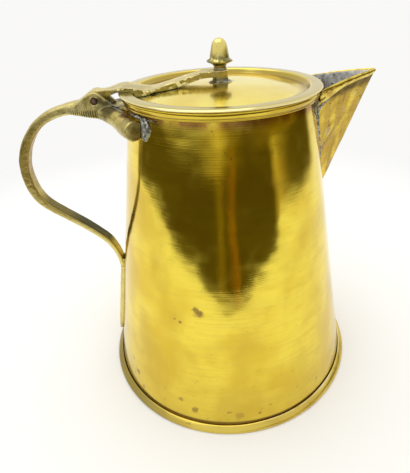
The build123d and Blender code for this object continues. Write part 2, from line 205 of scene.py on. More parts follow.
def times(finish, first, second):
    """One value times another: of two shares, where both are 1."""
    return combine(finish, "MULTIPLY", first, second)


def axis_value(finish, axis):
    """One of the piece's own coordinates, in millimetres."""
    split = finish.node_tree.nodes.new("ShaderNodeSeparateXYZ")
    finish.node_tree.links.new(own_place(finish), split.inputs["Vector"])
    return split.outputs[axis]


def lay_over(finish, share, colour, strength=1.0):
    """Lay a colour over a finish where the share is 1."""
    tree = finish.node_tree
    base = tree.nodes["Principled BSDF"].inputs["Base Color"]
    mix = tree.nodes.new("ShaderNodeMix")
    mix.data_type = "RGBA"
    under, over = mix.inputs[6], mix.inputs[7]
    if base.is_linked:
        tree.links.new(base.links[0].from_socket, under)
    else:
        under.default_value = base.default_value
    over.default_value = (*colour, 1)
    tree.links.new(times(finish, share, strength), mix.inputs[0])
    tree.links.new(mix.outputs[2], base)


def dull(finish, share, roughness):
    """Change a finish's roughness where the share is 1."""
    tree = finish.node_tree
    rough = tree.nodes["Principled BSDF"].inputs["Roughness"]
    mix = tree.nodes.new("ShaderNodeMix")
    if rough.is_linked:
        tree.links.new(rough.links[0].from_socket, mix.inputs[2])
    else:
        mix.inputs[2].default_value = rough.default_value
    mix.inputs[3].default_value = roughness
    tree.links.new(share, mix.inputs[0])
    tree.links.new(mix.outputs[0], rough)


def relief(finish, height, depth, strength=1.0):
    """Raise or sink the surface by a share of the given depth, in mm."""
    tree = finish.node_tree
    normal = tree.nodes["Principled BSDF"].inputs["Normal"]
    bump = tree.nodes.new("ShaderNodeBump")
    bump.inputs["Distance"].default_value = depth * MM
    bump.inputs["Strength"].default_value = strength
    if normal.is_linked:
        tree.links.new(normal.links[0].from_socket, bump.inputs["Normal"])
    tree.links.new(height, bump.inputs["Height"])
    tree.links.new(bump.outputs["Normal"], normal)


def sheet_brass(name, bright=SHEET_BRIGHT, warm=SHEET_WARM, roughness=0.17):
    """Old polished sheet: warm and pale clouds, fine level scratches, specks of dirt."""
    finish = metal(name, bright, roughness)
    lay_over(finish, patches(finish, 38, 0.42, 0.68, detail=2.0), warm, 0.75)
    lay_over(finish, patches(finish, 9, 0.5, 0.75, stretch=(0.4, 0.4, 1)), warm, 0.5)
    specks = patches(finish, 2.2, 0.70, 0.76)
    lay_over(finish, specks, DIRT_AND_SHADOW, 0.6)
    scratches = patches(finish, 1.0, 0.35, 0.65, stretch=(0.03, 0.03, 2.6), detail=2.0)
    dull(finish, patches(finish, 14, 0.5, 0.75), roughness + 0.08)
    relief(finish, scratches, 0.008, 0.5)
    relief(finish, patches(finish, 16, 0.2, 0.8, detail=1.0), 0.12)
    return finish


pan = start_ring("pan_sheet", PAN_RADIUS - 1.2, 0, filled=True)
draw_rings((PAN_RADIUS - 1.2, 0), PAN_OUTLINE)
close_piece(pan)
mark_region(pan, "lip", lambda place: place.z > 3 * MM)
hand_work(pan, 26, 0.9, "Z", "lip")
hand_work(pan, 34, 0.5, "NORMAL", "lip")
hand_work(pan, 12, 0.5, "Z", "lip")
for point in pan.data.vertices:
    off_sag = math.cos(math.atan2(point.co.y, point.co.x) - LIP_SAG_AZIMUTH)
    lift = max(point.co.z / MM - 2.0, 0) / 3.5
    point.co.z -= LIP_SAG * MM * lift * max(off_sag, -0.3) ** 3
bpy.ops.object.shade_smooth_by_angle(angle=math.radians(50))

# Painted shade: the pan gets a darker copy of the sheet brass, for the shade near the floor.
pan_brass = sheet_brass(
    "pan_brass", bright=(0.70, 0.53, 0.10), warm=(0.50, 0.33, 0.05), roughness=0.2
)
pan_height = axis_value(pan_brass, "Z")
lip_top = between(pan_brass, pan_height, 4.4, 5.2)
lip_wear = times(pan_brass, lip_top, patches(pan_brass, 11, 0.3, 0.6))
lay_over(pan_brass, patches(pan_brass, 5, 0.62, 0.70, stretch=(0.5, 0.5, 1.4)), DIRT_AND_SHADOW, 0.4)
lay_over(pan_brass, lip_wear, (0.86, 0.76, 0.42), 0.7)
# Painted shade: the pan is darker towards the handle side.
handle_side_shade = between(pan_brass, axis_value(pan_brass, "X"), -30, -75)
lay_over(pan_brass, handle_side_shade, (0.24, 0.19, 0.06), 0.75)
pan.data.materials.append(pan_brass)
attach(pan, "jug")
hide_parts("base_pan")


# Body wall: one sheet bent into a cone, its edges lapped and brazed at the back, the outside
# scoured bright with level strokes and the inside tinned. A strainer is pierced by the spout.
FOOT_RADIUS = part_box("body_wall")[1][0] / MM
MOUTH_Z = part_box("body_wall")[1][2] / MM
MOUTH_RADIUS = 54.8
BODY_SHEET = 1.0
WALL_RINGS = 72
STRAINER_ROWS = 4
STRAINER_TOP_Z = 187.0
STRAINER_ROW_PITCH = 10.0
STRAINER_HOLE_PITCH = 9.0
STRAINER_RADIUS = 2.25
WALL_STAINS = [
    ((-24.8, -70.8, 90.4), 5.2),
    ((-36.3, -67.5, 81.3), 1.6),
    ((-39.5, -65.8, 82.5), 1.3),
    ((-72.0, -50.4, 18.8), 3.6),
    ((-69.1, -56.7, 10.6), 2.0),
    ((-41.5, -77.3, 19.8), 2.4),
    ((-32.7, -82.5, 13.8), 4.2),
    ((-3.1, -89.0, 11.0), 4.6),
    ((17.5, -89.4, 3.0), 2.2),
]
STAIN = (0.20, 0.115, 0.045)
TIN_GREY = (0.50, 0.50, 0.46)
SEAM_AZIMUTH = math.radians(-170.5)
SEAM_TOOTH = 7.0
SEAM_LEAN = -0.006


def wall_radius(height):
    """Outer radius of the wall at a height, in mm."""
    share = (height - PAN_SHEET) / (MOUTH_Z - PAN_SHEET)
    return FOOT_RADIUS + (MOUTH_RADIUS - FOOT_RADIUS) * share


def tinned(name, colour):
    """Wiped tin: cloudy grey with dark and bright blotches."""
    finish = metal(name, colour, 0.38)
    lay_over(finish, patches(finish, 12, 0.45, 0.65), (0.24, 0.24, 0.20), 0.6)
    lay_over(finish, patches(finish, 3.5, 0.54, 0.66), (0.12, 0.12, 0.09), 0.8)
    lay_over(finish, patches(finish, 5, 0.58, 0.66, start=(40, 0, 0)), (0.80, 0.79, 0.77), 0.7)
    dull(finish, patches(finish, 6, 0.4, 0.6), 0.55)
    relief(finish, patches(finish, 3, 0.2, 0.8), 0.15)
    return finish


def take_up(piece):
    """Make one piece the only one that is selected."""
    bpy.ops.object.select_all(action="DESELECT")
    bpy.context.view_layer.objects.active = piece
    piece.select_set(True)


def pierce(piece, tool):
    """Cut one piece's shape out of another."""
    take_up(piece)
    cut = piece.modifiers.new("pierce", "BOOLEAN")
    cut.object = tool
    cut.operation = "DIFFERENCE"
    cut.solver = "EXACT"
    bpy.ops.object.modifier_apply(modifier=cut.name)
    bpy.data.objects.remove(tool)


def stain(finish, place, size):
    """A ragged spot of tarnish round a place on the piece."""
    tree = finish.node_tree
    reach = tree.nodes.new("ShaderNodeVectorMath")
    reach.operation = "DISTANCE"
    tree.links.new(own_place(finish), reach.inputs[0])
    reach.inputs[1].default_value = place
    ragged = patches(finish, size * 0.6, 0.3, 0.7)
    spread = times(finish, ragged, size * 0.5)
    edge = combine(finish, "ADD", reach.outputs["Value"], spread)
    return between(finish, edge, size * 1.15, size * 0.6)


steps = [PAN_SHEET + (MOUTH_Z - PAN_SHEET) * ring / WALL_RINGS for ring in range(WALL_RINGS + 1)]
wall = start_ring("wall_sheet", FOOT_RADIUS, PAN_SHEET)
draw_rings((FOOT_RADIUS, PAN_SHEET), [(wall_radius(height), height) for height in steps[1:]])
draw_rings(
    (MOUTH_RADIUS, MOUTH_Z),
    [(wall_radius(height) - BODY_SHEET, height) for height in reversed(steps)]
    + [(FOOT_RADIUS, PAN_SHEET)],
)
close_piece(wall)
mark_region(wall, "free", lambda place: 9 * MM < place.z < (MOUTH_Z - 8) * MM)
hand_work(wall, 58, 0.9, "NORMAL", "free")
hand_work(wall, 19, 0.09, "NORMAL", "free")

bpy.ops.object.select_all(action="DESELECT")
for row in range(STRAINER_ROWS):
    row_z = STRAINER_TOP_Z - STRAINER_ROW_PITCH * row
    holes = STRAINER_ROWS - row
    for place in range(holes):
        hole_y = (place - (holes - 1) / 2) * STRAINER_HOLE_PITCH
        bpy.ops.mesh.primitive_cylinder_add(
            vertices=20,
            radius=STRAINER_RADIUS * MM,
            depth=20 * MM,
            location=(wall_radius(row_z) * MM, hole_y * MM, row_z * MM),
            rotation=(0, math.pi / 2, 0),
        )
        bpy.context.object.name = "punch"
punches = [piece for piece in bpy.data.objects if piece.name.startswith("punch")]
for punch in punches:
    punch.select_set(True)
bpy.ops.object.join()
pierce(wall, bpy.context.object)

wall_brass = sheet_brass("wall_brass", roughness=0.10)
wall_height = axis_value(wall_brass, "Z")
for spot, size in WALL_STAINS:
    lay_over(wall_brass, stain(wall_brass, spot, size), STAIN, 0.85)
front_haze = patches(wall_brass, 24, 0.40, 0.72, stretch=(1, 1, 0.6), start=(11, 7, 3))
lay_over(wall_brass, front_haze, (0.58, 0.41, 0.05), 0.55)
brush_marks = patches(wall_brass, 1.6, 0.45, 0.75, stretch=(0.05, 0.05, 1.8), start=(5, 0, 9))
lay_over(wall_brass, brush_marks, (0.62, 0.46, 0.08), 0.35)
pits = patches(wall_brass, 1.5, 0.70, 0.76, start=(3, 8, 1))
lay_over(wall_brass, pits, STAIN, 0.5)
# Painted shade: the wall is darker towards the foot, for the shade near the floor; the stains
# below are kept to this low band.
low_wall = between(wall_brass, wall_height, 60, 8)
lay_over(wall_brass, low_wall, (0.60, 0.42, 0.06), 0.35)
low_spots = times(wall_brass, low_wall, patches(wall_brass, 4.5, 0.64, 0.72))
lay_over(wall_brass, low_spots, STAIN, 0.6)
# Painted shade: a dark band on the wall just above the pan's lip, where the two meet.
lay_over(wall_brass, between(wall_brass, wall_height, 7.4, 6.0), (0.16, 0.10, 0.03), 0.9)
high_wall = between(wall_brass, wall_height, 192.5, 197.5)
collar_bloom = patches(wall_brass, 9, 0.25, 0.6, stretch=(1, 1, 0.6))
under_collar = times(wall_brass, high_wall, collar_bloom)
lay_over(wall_brass, under_collar, (0.30, 0.10, 0.05), 0.85)

wall_x = axis_value(wall_brass, "X")
wall_y = axis_value(wall_brass, "Y")
turn_round = combine(wall_brass, "ARCTAN2", wall_y, wall_x)
zigzag = combine(wall_brass, "PINGPONG", wall_height, SEAM_TOOTH)
wander = combine(wall_brass, "ADD", turn_round, times(wall_brass, zigzag, SEAM_LEAN))
past_seam = combine(wall_brass, "SUBTRACT", wander, SEAM_AZIMUTH)
off_seam = combine(wall_brass, "ABSOLUTE", past_seam, 0)
seam = between(wall_brass, off_seam, 0.009, 0.004)
lay_over(wall_brass, seam, (0.36, 0.27, 0.10), 0.8)
relief(wall_brass, seam, 0.12)

wall.data.materials.append(wall_brass)
wall.data.materials.append(tinned("tinned_inside", TIN_GREY))
for face in wall.data.polygons:
    outward = Vector((face.center.x, face.center.y, 0)).normalized()
    face.material_index = 1 if face.normal.dot(outward) < -0.5 else 0
take_up(wall)
bpy.ops.object.shade_smooth_by_angle(angle=math.radians(35))
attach(wall, "jug")
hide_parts("body_wall")


# Collar: a convex band of brass soldered round the mouth, which stiffens the edge that the
# lid shuts on. A small bead runs along its lower edge and shows bright between painted shade
# in the creases below and above it.
COLLAR_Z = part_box("rim_collar")[0][2] / MM
COLLAR_BULGE = 58.85
COLLAR_OUTLINE = [
    (COLLAR_BULGE - 1.7, COLLAR_Z + 0.1),
    (COLLAR_BULGE - 1.2, COLLAR_Z + 0.4),
    (COLLAR_BULGE - 1.1, COLLAR_Z + 0.8),
    (COLLAR_BULGE - 1.35, COLLAR_Z + 1.2),
    (COLLAR_BULGE - 1.25, COLLAR_Z + 1.45),
    (COLLAR_BULGE - 0.75, COLLAR_Z + 2.0),
    (COLLAR_BULGE - 0.4, COLLAR_Z + 2.8),
    (COLLAR_BULGE - 0.25, COLLAR_Z + 3.7),
    (COLLAR_BULGE - 0.35, COLLAR_Z + 4.4),
    (COLLAR_BULGE - 0.8, MOUTH_Z),
    (MOUTH_RADIUS, MOUTH_Z),
    (wall_radius(COLLAR_Z), COLLAR_Z),
    (COLLAR_BULGE - 2.3, COLLAR_Z),
]

collar = start_ring("collar_band", COLLAR_BULGE - 2.3, COLLAR_Z, sides=192)
draw_rings((COLLAR_BULGE - 2.3, COLLAR_Z), COLLAR_OUTLINE)
close_piece(collar)
hand_work(collar, 30, 0.25, "Z")
bpy.ops.object.shade_smooth_by_angle(angle=math.radians(50))

collar_brass = sheet_brass(
    "collar_brass", bright=(0.72, 0.54, 0.06), warm=(0.46, 0.30, 0.03), roughness=0.16
)
collar_height = axis_value(collar_brass, "Z")
bead_foot_shade = between(collar_brass, collar_height, COLLAR_Z + 0.5, COLLAR_Z + 0.1)
above_bead = between(collar_brass, collar_height, COLLAR_Z + 1.0, COLLAR_Z + 1.35)
below_band = between(collar_brass, collar_height, COLLAR_Z + 2.1, COLLAR_Z + 1.6)
bead_top_shade = times(collar_brass, above_bead, below_band)
# Painted shade in the creases at the collar's foot and between the bead and the band.
lay_over(collar_brass, bead_foot_shade, (0.22, 0.10, 0.05), 0.7)
lay_over(collar_brass, bead_top_shade, (0.28, 0.18, 0.04), 0.8)
collar.data.materials.append(collar_brass)
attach(collar, "jug")
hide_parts("rim_collar")


# Spout: a V of sheet folded along its keel and soldered to the wall. The outside keeps the
# orange bloom of the soldering heat, with a few knocks and a painted shadow under the hems,
# and the channel is tinned.
SPOUT_VOXEL = 0.42
SPOUT_BLOOM = (0.50, 0.33, 0.05)
SPOUT_DENTS = [
    ((75.5, -10.5, 179.0), 6.5),
    ((69.5, -13.0, 174.5), 6.0),
    ((72.0, -11.0, 160.0), 5.0),
]
KEEL_FOOT_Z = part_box("spout")[0][2] / MM
SPOUT_TIP_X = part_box("spout")[1][0] / MM
SPOUT_TIP_Z = 208.2
SPOUT_HALF_ANGLE = math.radians(28.5)
WING_END_X = 50.4
WING_END_Z = 200.4
EDGE_CROWN = 0.9
EDGE_RISE = (SPOUT_TIP_Z - WING_END_Z) / (SPOUT_TIP_X - WING_END_X)
EDGE_LEVEL = WING_END_Z - WING_END_X * EDGE_RISE
KEEL_SLOPE = (SPOUT_TIP_X - wall_radius(KEEL_FOOT_Z)) / (SPOUT_TIP_Z - KEEL_FOOT_Z)


def worked_copy(node, name, voxel, added=()):
    """Copy a node's solid, with pieces added to it, as one even skin."""
    piece = bpy.data.objects.new(name, frame["nodes"][node].data.copy())
    piece.data.materials.clear()
    bpy.context.scene.collection.objects.link(piece)
    take_up(piece)
    bpy.ops.object.mode_set(mode="EDIT")
    bpy.ops.mesh.select_all(action="SELECT")
    bpy.ops.mesh.remove_doubles(threshold=1e-5)
    bpy.ops.mesh.normals_make_consistent(inside=False)
    bpy.ops.object.mode_set(mode="OBJECT")
    for extra in added:
        extra.select_set(True)
        bpy.ops.object.join()
    piece.data.remesh_voxel_size = voxel * MM
    piece.data.use_remesh_fix_poles = False
    piece.data.use_remesh_preserve_volume = True
    bpy.ops.object.voxel_remesh()
    return piece


def wear(piece, rounds):
    """Rub a piece's edges round."""
    take_up(piece)
    rubbed = piece.modifiers.new("wear", "SMOOTH")
    rubbed.factor = 0.5
    rubbed.iterations = rounds
    bpy.ops.object.modifier_apply(modifier=rubbed.name)
    bpy.ops.object.shade_smooth()


def edge_height(x):
    """Height of the spout's top edge over x: a straight rise with a slight crown."""
    share = (x - WING_END_X) / (SPOUT_TIP_X - WING_END_X)
    rise = WING_END_Z + (SPOUT_TIP_Z - WING_END_Z) * share
    return rise + EDGE_CROWN * (1 - (2 * share - 1) ** 2) + 0.5


spout = worked_copy("spout", "spout_sheet", SPOUT_VOXEL)
wear(spout, 2)
hand_work(spout, 20, 0.7)

spout_brass = metal("spout_brass", SPOUT_BLOOM, 0.24)
bright_streaks = patches(spout_brass, 6, 0.42, 0.72, stretch=(1, 1, 0.3))
lay_over(spout_brass, bright_streaks, (0.84, 0.62, 0.08), 0.9)
dark_streaks = patches(spout_brass, 4, 0.52, 0.74, stretch=(1, 1, 0.3), start=(30, 0, 0))
lay_over(spout_brass, dark_streaks, (0.27, 0.16, 0.03), 0.75)
mottles = patches(spout_brass, 7, 0.55, 0.72, start=(0, 50, 0))
lay_over(spout_brass, mottles, (0.42, 0.34, 0.27), 0.55)
lay_over(spout_brass, patches(spout_brass, 1.2, 0.62, 0.74), DIRT_AND_SHADOW, 0.6)
lay_over(spout_brass, stain(spout_brass, (64.0, -17.5, 183.0), 6.5), (0.90, 0.68, 0.10), 0.7)
dull(spout_brass, patches(spout_brass, 8, 0.4, 0.65), 0.38)
for spot, size in SPOUT_DENTS:
    relief(spout_brass, stain(spout_brass, spot, size), 0.9, 0.7)
relief(spout_brass, patches(spout_brass, 5, 0.3, 0.7, detail=2.0), 0.2)
# Painted shadow: a dark band on the spout's sides just under the hems, in the dirt colour.
rising = times(spout_brass, axis_value(spout_brass, "X"), -EDGE_RISE)
below_edge = combine(spout_brass, "ADD", axis_value(spout_brass, "Z"), rising)
hem_shadow = between(spout_brass, below_edge, EDGE_LEVEL - 8.5, EDGE_LEVEL - 4.5)
lay_over(spout_brass, hem_shadow, DIRT_AND_SHADOW, 0.8)

spout.data.materials.append(spout_brass)
spout_tin = tinned("spout_tin", (0.72, 0.70, 0.68))
body_side = between(spout_tin, axis_value(spout_tin, "X"), 80, 60)
tin_stains = times(spout_tin, body_side, patches(spout_tin, 2.5, 0.3, 0.6))
lay_over(spout_tin, tin_stains, (0.15, 0.18, 0.18), 0.8)
spout.data.materials.append(spout_tin)
for face in spout.data.polygons:
    inward = face.normal.y * (1 if face.center.y < 0 else -1)
    face.material_index = 1 if inward > 0.35 else 0
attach(spout, "jug")
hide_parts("spout")


# Hems: the spout's two top edges, folded out and hammered down to a round safe lip, broad at
# the body and fine at the beak. Drawn out straight along X, then turned onto the wing's edge.
HEM_START_X = 54.2
HEM_SECTIONS = [
    (0.00, 7.0, 1.4),
    (0.06, 8.2, 1.9),
    (0.18, 7.4, 2.1),
    (0.30, 5.6, 2.1),
    (0.42, 4.2, 2.0),
    (0.56, 3.9, 2.0),
    (0.70, 4.0, 1.9),
    (0.84, 3.6, 1.8),
    (0.94, 2.9, 1.6),
    (0.985, 2.0, 1.2),
]


def hem_height(share):
    """How tall the hem is at a share of its length."""
    for (near, low, _), (far, high, _) in zip(HEM_SECTIONS, HEM_SECTIONS[1:]):
        if share <= far:
            return low + (high - low) * (share - near) / (far - near)
    return HEM_SECTIONS[-1][1]


def half_width(x, height):
    """How far the spout's outer face stands from the jug's middle plane."""
    point_x = SPOUT_TIP_X - KEEL_SLOPE * (SPOUT_TIP_Z - height)
    return (point_x - x) * math.tan(SPOUT_HALF_ANGLE)


hem_brass = metal("hem_brass", (0.78, 0.60, 0.11), 0.2)
lay_over(hem_brass, patches(hem_brass, 6, 0.42, 0.62), (0.46, 0.30, 0.05), 0.8)
lay_over(hem_brass, patches(hem_brass, 2.5, 0.60, 0.72), (0.25, 0.18, 0.06), 0.6)
relief(hem_brass, patches(hem_brass, 4, 0.3, 0.7), 0.15)

hem_start_z = edge_height(HEM_START_X)
hem_start = Vector((HEM_START_X, half_width(HEM_START_X, hem_start_z), hem_start_z))
hem_end = Vector((SPOUT_TIP_X, 0, SPOUT_TIP_Z + 0.4))
hem_run = hem_end - hem_start
hem_length = hem_run.length
for side, node, name in ((1, "spout_hem_left", "hem_far"), (-1, "spout_hem_right", "hem_near")):
    bpy.ops.object.select_all(action="DESELECT")
    bpy.ops.mesh.primitive_circle_add(
        vertices=20, radius=MM, rotation=(0, math.pi / 2, 0), fill_type="NGON"
    )
    hem = bpy.context.object
    hem.name = name
    bpy.ops.object.transform_apply(rotation=True)
    bpy.ops.object.mode_set(mode="EDIT")
    bpy.ops.mesh.select_all(action="SELECT")
    before = (0.0, 2.0, 2.0)
    for share, height, thickness in HEM_SECTIONS:
        step = (share - before[0]) * hem_length * MM
        if share > 0:
            bpy.ops.mesh.extrude_region_move(TRANSFORM_OT_translate={"value": (step, 0, 0)})
        middle = (share * hem_length * MM, 0, 0)
        bpy.ops.transform.resize(
            value=(1, thickness / before[2], height / before[1]), center_override=middle
        )
        before = (share, height, thickness)
    bpy.ops.mesh.select_all(action="SELECT")
    bpy.ops.mesh.normals_make_consistent(inside=False)
    bpy.ops.object.mode_set(mode="OBJECT")
    for point in hem.data.vertices:
        share = point.co.x / (hem_length * MM)
        drop = hem_height(share) / 2 - 0.5
        point.co.z += (EDGE_CROWN * (1 - (2 * share - 1) ** 2) - drop) * MM
    lean = math.atan(KEEL_SLOPE * math.sin(SPOUT_HALF_ANGLE))
    yaw = math.atan2(hem_run.y, hem_run.x)
    pitch = math.atan2(hem_run.z, hem_run.xy.length)
    hem.rotation_euler = (-side * lean, -pitch, side * yaw)
    outward = Vector((math.sin(SPOUT_HALF_ANGLE), side * math.cos(SPOUT_HALF_ANGLE), 0))
    place = Vector((hem_start.x, side * hem_start.y, hem_start.z)) + outward * 0.5
    hem.location = place * MM
    bpy.ops.object.transform_apply(location=True, rotation=True)
    smooth = hem.modifiers.new("smooth", "SUBSURF")
    smooth.levels = 2
    smooth.render_levels = 2
    bpy.ops.object.modifier_apply(modifier=smooth.name)
    hand_work(hem, 7, 0.6)
    bpy.ops.object.shade_smooth()
    hem.data.materials.append(hem_brass)
    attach(hem, "jug")
    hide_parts(node)


# Handle: an S-shaped bar of cast and filed brass, forked at its head for the hinge, with a
# saddle that hugs the wall and a long tail. Handling has worn its edges, dirt fills its hollows,
# and painted highlights, painted shade and painted reflections lie over its faces.
HANDLE_VOXEL = 0.5
CAST_BRASS = (0.66, 0.55, 0.18)
CAST_DARK = (0.20, 0.165, 0.06)
SADDLE_Z = 190.2
SADDLE_RADIUS = 5.5
SADDLE_MIDDLE = 60.9
SADDLE_REACH = math.radians(35)
SHOULDER_RADIUS = 4.9
NOTCH_PITCH = 1.3


def cast_brass(name, worn=CAST_BRASS, dark=CAST_DARK, roughness=0.30, rubbed=0.8):
    """Aged casting: dirt and dull green-brown in the hollows, darkened further there by painted
    shade; the high places rubbed bright, with a painted highlight on the edges.
    """
    finish = metal(name, worn, roughness)
    lay_over(finish, patches(finish, 15, 0.36, 0.70), (0.44, 0.35, 0.11), 0.8)
    lay_over(finish, patches(finish, 5, 0.52, 0.78, start=(20, 0, 0)), dark, 0.6)
    lay_over(finish, patches(finish, 1.5, 0.62, 0.74), DIRT_AND_SHADOW, 0.6)
    shape = finish.node_tree.nodes.new("ShaderNodeNewGeometry").outputs["Pointiness"]
    # Painted shade in the hollows, mixed with dirt, and a painted highlight on the edges, mixed
    # with wear.
    lay_over(finish, between(finish, shape, 0.475, 0.41), dark, 0.9)
    lay_over(finish, between(finish, shape, 0.53, 0.60), (0.88, 0.76, 0.32), rubbed)
    dull(finish, patches(finish, 4, 0.4, 0.65), roughness + 0.15)
    relief(finish, patches(finish, 2.2, 0.3, 0.7), 0.10)
    relief(finish, patches(finish, 0.8, 0.35, 0.7), 0.03)
    return finish


def facing(finish, axis):
    """How far the surface faces along an axis, from -1 to 1."""
    tree = finish.node_tree
    split = tree.nodes.new("ShaderNodeSeparateXYZ")
    geometry = tree.nodes.new("ShaderNodeNewGeometry")
    tree.links.new(geometry.outputs["Normal"], split.inputs["Vector"])
    return split.outputs[axis]


def round_bar(name, line, thickness):
    """A round bar along a line of places, each with its own share of the thickness."""
    bar_data = bpy.data.curves.new(name, "CURVE")
    bar_data.dimensions = "3D"
    bar_data.bevel_depth = thickness * MM
    bar_data.bevel_resolution = 6
    bar_data.use_fill_caps = True
    spline = bar_data.splines.new("NURBS")
    spline.points.add(len(line) - 1)
    for point, (place, share) in zip(spline.points, line):
        point.co = (*(Vector(place) * MM), 1)
        point.radius = share
    spline.use_endpoint_u = True
    bar = bpy.data.objects.new(name, bar_data)
    bpy.context.scene.collection.objects.link(bar)
    take_up(bar)
    bpy.ops.object.convert(target="MESH")
    return bpy.context.object


def round_wall(angle, radius, height):
    """A place at an angle either side of the handle's plane, at a distance from the axis."""
    return (-radius * math.cos(angle), radius * math.sin(angle), height)


def saddle_place(side, angle, rise, out=0.0):
    """A place on the saddle's middle line, or raised or moved out from it."""
    return round_wall(side * angle, SADDLE_MIDDLE + out, SADDLE_Z + rise)


saddle_line = []
for step in range(13):
    turn = step / 6 - 1
    place = saddle_place(1, SADDLE_REACH * turn, 0)
    saddle_line.append((place, 0.84 + 0.16 * abs(turn)))
saddle_parts = [round_bar("saddle_roll", saddle_line, SADDLE_RADIUS)]
for side in (1, -1):
    shoulder_line = [
        ((-76.0, side * 2.0, 194.8), 0.6),
        ((-70.0, side * 4.5, 193.4), 0.9),
        (saddle_place(side, math.radians(10), 2.2, 1.5), 1.1),
        (saddle_place(side, math.radians(19), 1.0, 0.3), 1.15),
        (saddle_place(side, math.radians(29), 0), 1.0),
    ]
    saddle_parts.append(round_bar("saddle_shoulder", shoulder_line, SHOULDER_RADIUS))
handle = worked_copy("handle", "handle_bar", HANDLE_VOXEL, saddle_parts)
core = start_ring("jug_core", FOOT_RADIUS + 0.05, PAN_SHEET, filled=True)
draw_rings((FOOT_RADIUS + 0.05, PAN_SHEET), [(MOUTH_RADIUS + 0.05, MOUTH_Z)])
close_piece(core)
pierce(handle, core)
wear(handle, 10)
hand_work(handle, 9, 0.5)
BACK_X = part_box("handle")[0][0]
for point in handle.data.vertices:
    point.co.x = max(point.co.x, BACK_X)

handle_brass = cast_brass("handle_brass")
handle_x = axis_value(handle_brass, "X")
handle_z = axis_value(handle_brass, "Z")
# Painted reflections and shade: each face of the bar is lighter or darker by the way it faces and
# by its height, and the lower limb's top is painted nearly black.
faces_side = combine(handle_brass, "ABSOLUTE", facing(handle_brass, "Y"), 0)
upper_face = between(handle_brass, facing(handle_brass, "Z"), 0.30, 0.65)
side_face = between(handle_brass, faces_side, 0.6, 0.95)
outer_face = between(handle_brass, facing(handle_brass, "X"), -0.35, -0.8)
inner_face = between(handle_brass, facing(handle_brass, "X"), 0.25, 0.7)
low_height = between(handle_brass, handle_z, 162, 138)
high_height = between(handle_brass, handle_z, 176, 194)
above_limb = combine(handle_brass, "SUBTRACT", 1, low_height)
bend_height = combine(handle_brass, "SUBTRACT", above_limb, high_height)
for face_share, height_share, colour, strength in (
    (side_face, bend_height, (0.42, 0.32, 0.08), 0.6),
    (side_face, low_height, (0.86, 0.74, 0.28), 0.7),
    (side_face, high_height, (0.82, 0.74, 0.36), 0.6),
    (outer_face, bend_height, (0.15, 0.13, 0.05), 0.7),
    (inner_face, bend_height, (0.34, 0.22, 0.12), 0.75),
):
    lay_over(handle_brass, times(handle_brass, face_share, height_share), colour, strength)
low_limb = times(handle_brass, low_height, upper_face)
lay_over(handle_brass, low_limb, (0.055, 0.06, 0.035), 0.9)
dull(handle_brass, low_limb, 0.5)
behind_head = between(handle_brass, handle_x, -91, -87)
before_pin = between(handle_brass, handle_x, -70, -75)
above_foot = between(handle_brass, handle_z, 188.0, 189.0)
below_top = between(handle_brass, handle_z, 196.8, 195.2)
along_head = times(handle_brass, behind_head, before_pin)
up_head = times(handle_brass, above_foot, below_top)
notch_place = times(handle_brass, along_head, up_head)
# Painted shade: dark stripes for the filed nicks along the head's lower side, which are not cut
# into the bar.
every_notch = combine(handle_brass, "PINGPONG", handle_x, NOTCH_PITCH / 2)
notch_shade = times(handle_brass, notch_place, between(handle_brass, every_notch, 0.4, 0.15))
lay_over(handle_brass, times(handle_brass, notch_shade, side_face), (0.08, 0.065, 0.03), 0.85)
for side in (1, -1):
    for place, size, colour, strength in (
        # Darker in the valley between the head and the saddle, under the lid's rim.
        ((-66.0, side * 10, 195.5), 11.0, (0.10, 0.085, 0.05), 0.85),
        (saddle_place(side, SADDLE_REACH + 0.02, 0), 4.2, (0.46, 0.32, 0.06), 0.8),
        (saddle_place(side, math.radians(23), 5), 3.6, (0.20, 0.07, 0.04), 0.8),
    ):
        lay_over(handle_brass, stain(handle_brass, place, size), colour, strength)
bend = between(handle_brass, handle_x, -97, -109)
lay_over(handle_brass, bend, (0.36, 0.27, 0.07), 0.5)
handle.data.materials.append(handle_brass)
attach(handle, "jug")
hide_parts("handle")


# Hinge pin: an iron nail through the two cheeks, cut short and hammered over at both ends,
# rusted dark.
PIN_X = -73.6
PIN_Z = 201.0
PIN_RADIUS = 1.65
PIN_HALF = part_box("hinge_pin")[1][1] / MM
PIN_OUTLINE = [
    (PIN_RADIUS, -PIN_HALF + 0.5),
    (PIN_RADIUS, PIN_HALF - 0.5),
    (PIN_RADIUS - 0.35, PIN_HALF - 0.1),
    (0.6, PIN_HALF),
]

pin = start_ring("pin_rod", 0.6, -PIN_HALF, sides=32, filled=True)
draw_rings((0.6, -PIN_HALF), [(PIN_RADIUS - 0.35, -PIN_HALF + 0.1), *PIN_OUTLINE])
close_piece(pin)
bpy.ops.transform.rotate(value=math.pi / 2, orient_axis="X", center_override=(0, 0, 0))
bpy.ops.transform.translate(value=(PIN_X * MM, 0, PIN_Z * MM))
bpy.ops.object.transform_apply(location=True, rotation=True)
bpy.ops.object.shade_smooth_by_angle(angle=math.radians(50))

rust = metal("rusted_iron", (0.20, 0.13, 0.10), 0.55)
lay_over(rust, patches(rust, 1.5, 0.42, 0.6), (0.10, 0.055, 0.035), 0.9)
lay_over(rust, patches(rust, 0.8, 0.58, 0.66), (0.34, 0.20, 0.12), 0.8)
relief(rust, patches(rust, 0.6, 0.3, 0.7), 0.12)
pin.data.materials.append(rust)
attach(pin, "jug")
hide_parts("hinge_pin")


